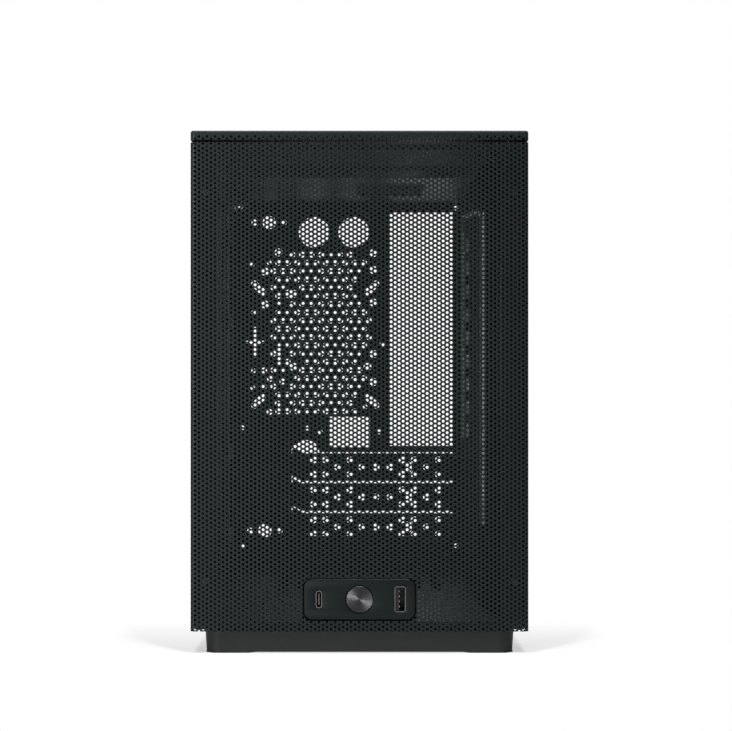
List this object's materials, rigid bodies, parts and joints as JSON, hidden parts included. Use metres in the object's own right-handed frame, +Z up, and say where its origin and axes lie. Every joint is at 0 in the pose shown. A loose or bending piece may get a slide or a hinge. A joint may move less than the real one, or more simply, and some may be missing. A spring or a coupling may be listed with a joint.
{
  "type": "mini itx pc case",
  "caption": "Small computer case with mesh panels that pull off, an open board bay, slot covers, and a front plate with a power button and two sockets.",
  "frame": {"origin": "on the ground, under the middle of the whole case", "axes": "+Z up, +Y to the back of the case, +X to the right seen from the front"},
  "size_m": [0.174, 0.34, 0.269],
  "materials": {
    "mesh_sheet": "fine textured powder coat, near black with a green-grey cast",
    "chassis_sheet": "smooth satin powder coat, near black",
    "base_plastic": "fine matt moulding",
    "pad_rubber": "matt",
    "plate_plastic": "satin moulding with a bright chamfer",
    "button_metal": "turned face, dark anodised",
    "bright_steel": "zinc plated",
    "spring_steel": "blackened",
    "dark_screw": "black zinc",
    "brass": "turned",
    "shell_steel": "nickel plated",
    "tongue_plastic": "moulded",
    "contact_gold": "gold plated",
    "board_green": "solder mask"
  },
  "bodies": {
    "chassis": {"front_frame": "chassis_sheet", "chassis_floor": "chassis_sheet", "chassis_top": "chassis_sheet", "left_post": "chassis_sheet", "right_post": "chassis_sheet", "rear_panel": "chassis_sheet", "motherboard_tray": "chassis_sheet", "standoffs": "brass", "front_clips": "dark_screw", "left_clips": "spring_steel", "right_clips": "spring_steel", "top_clips": "spring_steel", "slot_screws": "dark_screw", "base_skirt": "base_plastic", "foot_pads": "pad_rubber", "io_plate": "plate_plastic", "switch_body": "tongue_plastic", "usb_a_shell": "shell_steel", "usb_a_tongue": "tongue_plastic", "usb_a_contacts": "contact_gold", "usb_c_shell": "shell_steel", "usb_c_tongue": "tongue_plastic", "io_board": "board_green", "io_bracket": "chassis_sheet", "io_screws": "dark_screw", "slot_cover_1": "chassis_sheet", "slot_cover_2": "chassis_sheet", "slot_cover_3": "chassis_sheet"},
    "front_panel": {"front_panel": "mesh_sheet", "front_panel_studs": "dark_screw"},
    "left_side_panel": {"left_side_panel": "mesh_sheet", "left_panel_studs": "bright_steel"},
    "right_side_panel": {"right_side_panel": "mesh_sheet", "right_panel_studs": "bright_steel"},
    "top_cover": {"top_cover": "mesh_sheet", "top_cover_studs": "dark_screw"},
    "power_button": {"power_button": "button_metal"}
  },
  "joints": [
    {"name": "front_panel_pull", "type": "slide", "parent": "chassis", "child": "front_panel", "axis": [0, -1, 0], "range_m": [0, 0.06]},
    {"name": "left_panel_pull", "type": "slide", "parent": "chassis", "child": "left_side_panel", "axis": [-1, 0, 0], "range_m": [0, 0.06]},
    {"name": "right_panel_pull", "type": "slide", "parent": "chassis", "child": "right_side_panel", "axis": [1, 0, 0], "range_m": [0, 0.06]},
    {"name": "top_cover_lift", "type": "slide", "parent": "chassis", "child": "top_cover", "axis": [0, 0, 1], "range_m": [0, 0.06]},
    {"name": "power_button_press", "type": "slide", "parent": "chassis", "child": "power_button", "axis": [0, 1, 0], "range_m": [0, 0.0008], "stiffness_N_per_m": 600}
  ]
}
